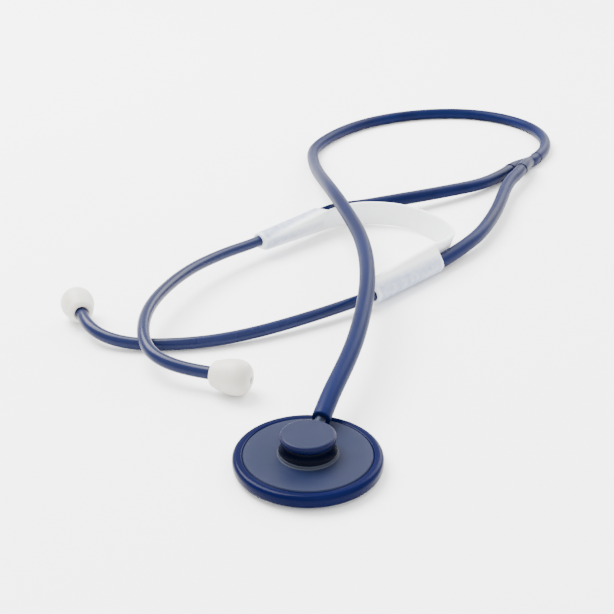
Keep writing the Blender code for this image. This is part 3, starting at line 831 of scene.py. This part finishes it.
def makeHead():
    look = headLook
    outer, plateRadius, capRadius = map(radiusInCad, ("diaphragm_rim", "chestpiece_body", "hub_cap"))
    rimTop, hubTop, capTop = (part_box(node)[1].z for node in ("diaphragm_rim", "chestpiece_body", "hub_cap"))
    segments = look["segments"]
    plateTop, plateBottom, channel = look["plateTop"], look["plateBottom"], look["channel"]

    # The rim: a rounded bead over a tapered underside, with a fine groove where it holds the plate.
    inner = plateRadius + 0.0001
    pocket = outer - look["rimWall"]
    taper = look["rimTaper"]
    rim = addObject("headRim", turnedMesh([
        (pocket, 0.0006), (pocket, rimTop - 0.0016), (inner, rimTop - 0.0012),
        *arc((inner + 0.0005, rimTop - 0.0005), 0.0005, 180, 95, 6),
        (inner + 0.0011, rimTop + 0.00003), *arc((outer - 0.0014, rimTop - 0.0014), 0.0014, 88, 0, 10),
        (outer, 0.0021), (outer - taper * 0.04, 0.0016), (outer - taper * 0.16, 0.00125),
        (outer - taper * 0.36, 0.0009), (outer - taper * 0.73, 0.00030), (outer - taper * 0.92, 0.00005),
        (outer - taper, 0), (outer - 0.0044, 0), (outer - 0.0046, 0.0002), (outer - 0.0046, 0.0006),
    ], segments), rimGloss)
    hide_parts("diaphragm_rim")
    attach(rim, "head")

    # The body: a flat back with a slightly sunk field.
    foot = look["footRadius"]
    skirt = plateRadius - 0.0016
    body = addObject("headBody", turnedMesh([
        (channel, plateBottom), (channel, plateTop - 0.0003), (foot - 0.0006, plateTop - 0.0002),
        (foot + 0.0010, plateTop - 0.00004), (plateRadius - 0.0034, plateTop + 0.00004),
        (plateRadius - 0.0010, plateTop + 0.00004), (plateRadius - 0.0003, plateTop - 0.00003),
        (plateRadius, plateTop - 0.0003), (plateRadius, 0.0018), (skirt, 0.0018), (skirt, plateBottom),
    ], segments), plateCoat)

    # The hub: a waisted wall in painted shade, the cap's blue plastic painted near-black where it shows the
    # dark around it, standing on a thin foot ring.
    hubRadius = look["hubRadius"]
    footTop = plateTop + look["footHeight"]
    hub = addObject("headHub", turnedMesh([
        (channel, plateTop - 0.0002), (channel, hubTop), (hubRadius - 0.0005, hubTop),
        (hubRadius - 0.0001, hubTop - 0.0002), (hubRadius, hubTop - 0.0005), (hubRadius, hubTop - 0.0013),
        (hubRadius + 0.0002, footTop + 0.0010), (hubRadius + 0.0005, footTop + 0.0002),
        *arc((foot - 0.00025, footTop - 0.00025), 0.00025, 100, 0, 5),
        (foot, plateTop + 0.0002), (foot + 0.00012, plateTop + 0.00006), (foot + 0.0003, plateTop - 0.00005),
        (foot, plateTop - 0.0002),
    ], segments), hubPaintedShadeAndHighlight)
    for piece in (body, hub):
        socket = turnedMesh([
            (0, look["stemInside"] - 0.0002), (look["stemRadius"] + 0.0004, look["stemInside"] - 0.0002),
            (look["stemRadius"] + 0.0004, look["stemHoleEnd"]), (0, look["stemHoleEnd"]),
        ], 40, placeAlong(stemRoot, stemAxis))
        cutBy(piece, [socket])
        piece.data.shade_smooth()
        piece.data.set_sharp_from_angle(angle=math.radians(30))
        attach(piece, "head")
    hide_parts("chestpiece_body")

    capBottom = hubTop + 0.0001
    edge = look["capRound"]
    cap = addObject("hubCap", turnedMesh([
        (0, capBottom), (capRadius - 0.0004, capBottom),
        *arc((capRadius - 0.0003, capBottom + 0.0003), 0.0003, -90, 0, 4),
        *arc((capRadius - edge, capTop - edge), edge, 0, 84, 10),
        (capRadius - 0.0013, capTop - 0.00002), (capRadius - 0.0020, capTop - 0.00006),
        (0, capTop - 0.0001),
    ], segments), capCoat)
    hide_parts("hub_cap")
    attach(cap, "head")

    # A dark ring under the cap where it is pressed on: painted shade filling the gap between cap and hub.
    seam = addObject("capSeam", turnedMesh([
        (0.0040, hubTop - 0.0001), (hubRadius - 0.00045, hubTop - 0.0001),
        (hubRadius - 0.00045, capBottom + 0.0001), (0.0040, capBottom + 0.0001),
    ], 96), capGapShade)
    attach(seam, "head")

    lip = outer - 0.0046
    face = addObject("listeningFace", turnedMesh([
        (0, 0), (lip - 0.0012, 0), (lip - 0.0005, 0.0002), (lip - 0.0003, 0.0007), (plateRadius, 0.0009),
        (plateRadius, 0.0014), (lip - 0.0004, 0.0013), (lip - 0.0012, 0.0005), (0, 0.0005),
    ], segments), facePlastic)
    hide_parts("diaphragm")
    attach(face, "head")

    # The stem: a plain neck from the hub with a shoulder against the hose's end.
    bore, neck = look["stemBore"], look["stemRadius"]
    stemEnd = (Vector(mainRoute[0]) - stemRoot).length
    stem = addObject("hoseStem", turnedMesh([
        (bore, look["stemInside"]), (neck, look["stemInside"]), (neck, 0.0088), (0.0021, 0.0090),
        (0.00235, 0.0093), (0.00240, 0.0098), (0.00235, 0.0103), (0.0019, 0.0106), (neck + 0.0001, 0.0108),
        (neck + 0.0001, stemEnd + 0.0004), (bore, stemEnd + 0.0004),
    ], 48, placeAlong(stemRoot, stemAxis)), steel)
    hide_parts("tube_stem")
    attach(stem, "head")


makeHead()
print("chestpiece made")

# Spring.


def sleeveFrame(ends, lean, side):
    earEnd, out, length = sleeveAxis(ends)
    across = out.cross(Vector((0, 0, 1))).normalized() * side
    up = out.cross(across) * side
    if up.z < 0:
        up = -up
    normal = (across * math.cos(lean) - up * math.sin(lean) * side).normalized()
    tailUp = (up * math.cos(lean) + across * math.sin(lean) * side).normalized()
    return earEnd, out, normal, tailUp, length


def stripMesh(rows):
    # A closed strip from rows of corner points.
    bm = bmesh.new()
    made = [[bm.verts.new(p) for p in row] for row in rows]
    for first, second in zip(made, made[1:]):
        bridge(bm, first, second)
    bm.faces.new(made[0])
    bm.faces.new(made[-1])
    return meshOf(bm)


def tailOffset():
    return hoseLook["radius"] + spring["gap"] + spring["hoseWall"] / 4 + spring["bandThickness"] / 2


def sleeveOutline(radius, middle, below, above):
    # Points round the convex shape that holds a circle and the flat tail beside it.
    half = spring["bandThickness"] / 2
    inner, outer = middle - half, middle + half
    points = [(outer, -below + (below + above) * i / 12) for i in range(13)]
    turns = []
    for height in (above, below):
        turns.append(math.atan2(height, inner) + math.acos(min(1.0, radius / math.hypot(inner, height))))
    top = (radius * math.cos(turns[0]), radius * math.sin(turns[0]))
    bottom = (radius * math.cos(turns[1]), -radius * math.sin(turns[1]))
    points += [(inner + (top[0] - inner) * i / 6, above + (top[1] - above) * i / 6) for i in range(6)]
    for i in range(18):
        angle = turns[0] + (2 * math.pi - turns[1] - turns[0]) * i / 18
        points.append((radius * math.cos(angle), radius * math.sin(angle)))
    points += [
        (bottom[0] + (inner - bottom[0]) * i / 6, bottom[1] - (below + bottom[1]) * i / 6) for i in range(7)
    ]
    return points


def makeSleeve(name, replaced, body, ends, lean, side, tail):
    earEnd, out, normal, up, length = sleeveFrame(ends, lean, side)
    hoseBore = hoseLook["radius"] + spring["gap"] * 0.3
    earBore = earTubeLook["radius"] + spring["gap"] * 0.4
    earOuter = earTubeLook["radius"] + spring["gap"] + spring["earWall"]
    hoseOuter = hoseLook["radius"] + spring["gap"] + spring["hoseWall"]
    flush = earOuter - spring["bandThickness"] / 2

    def section(at, below, above):
        share = at / length
        radius = earOuter + (hoseOuter - earOuter) * share
        return at, sleeveOutline(radius, flush + (tailOffset() - flush) * share, below, above)

    full = section(length, *tail[2])[1]
    angles = [math.atan2(y, x) for x, y in full]
    rings = [(at, [(r * math.cos(a), r * math.sin(a)) for a in angles]) for at, r in (
        (0, earOuter - 0.0003), (0.0003, earOuter))]
    rings += [section(spring["tailStart"], *tail[0]), section(spring["tailFull"], *tail[1])]
    rings += [section(length - 0.0003, *tail[2]), (length, [(x * 0.97, y * 0.985) for x, y in full])]
    rows = [[earEnd + out * at + normal * x + up * y for x, y in points] for at, points in rings]
    skin = melted([stripMesh(rows)], spring["voxel"], spring["soften"])
    sleeve = addObject(name, skin, frosted, sharp=60)
    bore = turnedMesh([
        (0, -0.001), (earBore, -0.001), (earBore, spring["grip"]), (hoseBore, spring["grip"] + 0.0008),
        (hoseBore, length + 0.001), (0, length + 0.001),
    ], 48, placeAlong(earEnd, out))
    cutBy(sleeve, [bore])
    sleeve.data.shade_smooth()
    sleeve.data.set_sharp_from_angle(angle=math.radians(50))
    # hoseNear masks the painted bluish shade of the hose seen through the wall, faded towards both ends.
    near = sleeve.data.attributes.new("hoseNear", "FLOAT", "POINT")
    rel = np.array([v.co for v in sleeve.data.vertices]) - np.array(earEnd)
    at = rel @ np.array(out)
    away = np.linalg.norm(rel - np.outer(at, out), axis=1)
    share = 1 - np.clip((away - hoseOuter * 0.98) / 0.0016, 0, 1)
    endFade = np.clip((at - 0.0006) / 0.002, 0, 1) * np.clip((length - 0.0004 - at) / 0.0016, 0, 1)
    near.data.foreach_set("value", (share * (0.35 + 0.65 * endFade)).astype(np.float32))
    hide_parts(replaced)
    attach(sleeve, body)


def bandRows():
    # The band's line with its height and lean, from the left sleeve's tail to the right one's.
    stations = []
    leftFrame = sleeveFrame(leftSleeve, leftLean, 1)
    rightFrame = sleeveFrame(rightSleeve, rightLean, -1)
    for (earEnd, out, normal, up, length), tail in ((leftFrame, "leftTail"), (rightFrame, "rightTail")):
        below, above = spring[tail][-1]
        at = earEnd + out * (length - 0.0008) + normal * tailOffset() + up * (above - below) / 2
        stations.append((*at, below + above, up.x / up.z, up.y / up.z))
    between = [(*knot[:3], knot[3] * spring["bandHeight"], *knot[4:]) for knot in bandRoute]
    knots = [stations[0], *between, stations[1]]
    places = [Vector(k[:3]) for k in knots]
    line = smoothLine(places, 0.0012, leftFrame[1], -rightFrame[1])
    run = np.concatenate([[0], np.cumsum([(b - a).length for a, b in zip(places, places[1:])])])
    at = np.linspace(0, run[-1], len(line))
    height, leanX, leanY = (np.interp(at, run, [k[i] for k in knots]) for i in (3, 4, 5))
    found = []
    for i, point in enumerate(line):
        tangent = (line[min(i + 1, len(line) - 1)] - line[max(i - 1, 0)]).normalized()
        up = Vector((leanX[i], leanY[i], 1)).normalized()
        up = (up - tangent * up.dot(tangent)).normalized()
        side = tangent.cross(up)
        half = height[i] / 2
        thick = spring["bandThickness"] / 2
        edge = thick * 0.8
        outline = []
        for cx, cz, first in ((1, 1, 0), (-1, 1, 90), (-1, -1, 180), (1, -1, 270)):
            for a in (0, 22.5, 45, 67.5, 90):
                angle = math.radians(first + a)
                x = cx * (thick - edge) + edge * math.cos(angle)
                z = cz * (half - edge) + edge * math.sin(angle)
                outline.append((x, z))
        found.append([point + side * x + up * z for x, z in outline])
    return line, found


def makeBand():
    line, rows = bandRows()
    apex = Vector(joints["left_arm_spread"]["pos_m"])
    middle = min(range(len(line)), key=lambda i: (line[i].xy - apex.xy).length)
    for name, body, part, end in (
            ("bandLeft", "left_arm", rows[:middle + 1], line[0]),
            ("bandRight", "right_arm", rows[middle:], line[-1])):
        band = addObject(name, stripMesh(part), frosted, sharp=60)
        band.data.attributes.new("hoseNear", "FLOAT", "POINT")
        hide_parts("spring_band")
        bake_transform(band)


makeSleeve("leftSleeve", "left_spring_sleeve", "left_arm", leftSleeve, leftLean, 1, spring["leftTail"])
makeSleeve("rightSleeve", "right_spring_sleeve", "right_arm", rightSleeve, rightLean, -1, spring["rightTail"])
makeBand()
print("spring made")

# Ear tubes and tips.


def makeEarSide(side, line, seat, way, arm, tipBody):
    look = earTubeLook
    mesh = tubeMesh(tubeGroup, line, look["radius"], look["sides"], look["edge"], earMaterial)
    tube = addObject(side + "EarTube", mesh, earMaterial, sharp=50)
    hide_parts(side + "_ear_tube")
    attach(tube, arm)
    length, radius, collar, hole = tipLook["length"], tipLook["radius"], tipLook["collar"], tipLook["hole"]
    swell = radius - collar
    knots = [
        (collar - 0.0001, 0.0002), (collar + swell * 0.22, length * 0.05),
        (collar + swell * 0.50, length * 0.17), (collar + swell * 0.78, length * 0.33),
        (collar + swell * 0.95, length * 0.50), (radius, length * 0.63),
        (collar + swell * 0.85, length * 0.78), (collar + swell * 0.42, length * 0.905),
        (collar - swell * 0.18, length * 0.975), (hole + 0.0006, length),
    ]
    outer = [(p.x, p.y) for p in smoothLine([(x, y, 0) for x, y in knots], 0.0005)]
    seatRadius = look["radius"] + tipLook["seatGap"]
    outline = [
        (seatRadius + 0.0002, 0.0003), (seatRadius + 0.0005, 0), (collar - 0.0004, 0), *outer,
        (hole + 0.0002, length - 0.0001), (hole, length - 0.0004), (hole, look["seat"] + 0.0003),
        (seatRadius, look["seat"] + 0.0003), (seatRadius, 0.0006),
    ]
    mesh = turnedMesh(outline, tipLook["segments"], placeAlong(seat, way))
    tip = addObject(side + "EarTip", mesh, tipVinyl, sharp=50)
    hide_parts(side + "_ear_tip")
    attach(tip, tipBody)


makeEarSide("left", leftLine, leftSeat, leftWay, "left_arm", "left_tip")
makeEarSide("right", rightLine, rightSeat, rightWay, "right_arm", "right_tip")
print("ear tubes and tips made")

# Table and light.

floorMesh = bpy.data.meshes.new("table")
far = light["floorHalf"]
floorMesh.from_pydata([(-far, -far, 0), (far, -far, 0), (far, far, 0), (-far, far, 0)], [], [(0, 1, 2, 3)])
floor = addObject("table", floorMesh, floorMaterial(), smooth=False)
floor.location.z = -light["floorDrop"]


def addArea(name, place, size, power):
    data = bpy.data.lights.new(name, "AREA")
    data.size = size
    data.energy = power
    lamp = bpy.data.objects.new(name, data)
    lamp.location = place
    aim = Vector(light["aim"]) - Vector(place)
    lamp.rotation_euler = aim.to_track_quat("-Z", "Y").to_euler()
    bpy.context.scene.collection.objects.link(lamp)


addArea("key", light["keyPlace"], light["keySize"], light["keyPower"])
addArea("fill", light["fillPlace"], light["fillSize"], light["fillPower"])
addArea("back", light["backPlace"], light["backSize"], light["backPower"])
world = bpy.data.worlds.new("studio")
world.use_nodes = True
world.node_tree.nodes["Background"].inputs["Color"].default_value = (1, 1, 1, 1)
world.node_tree.nodes["Background"].inputs["Strength"].default_value = light["sky"]
bpy.context.scene.world = world
print("table and light made")
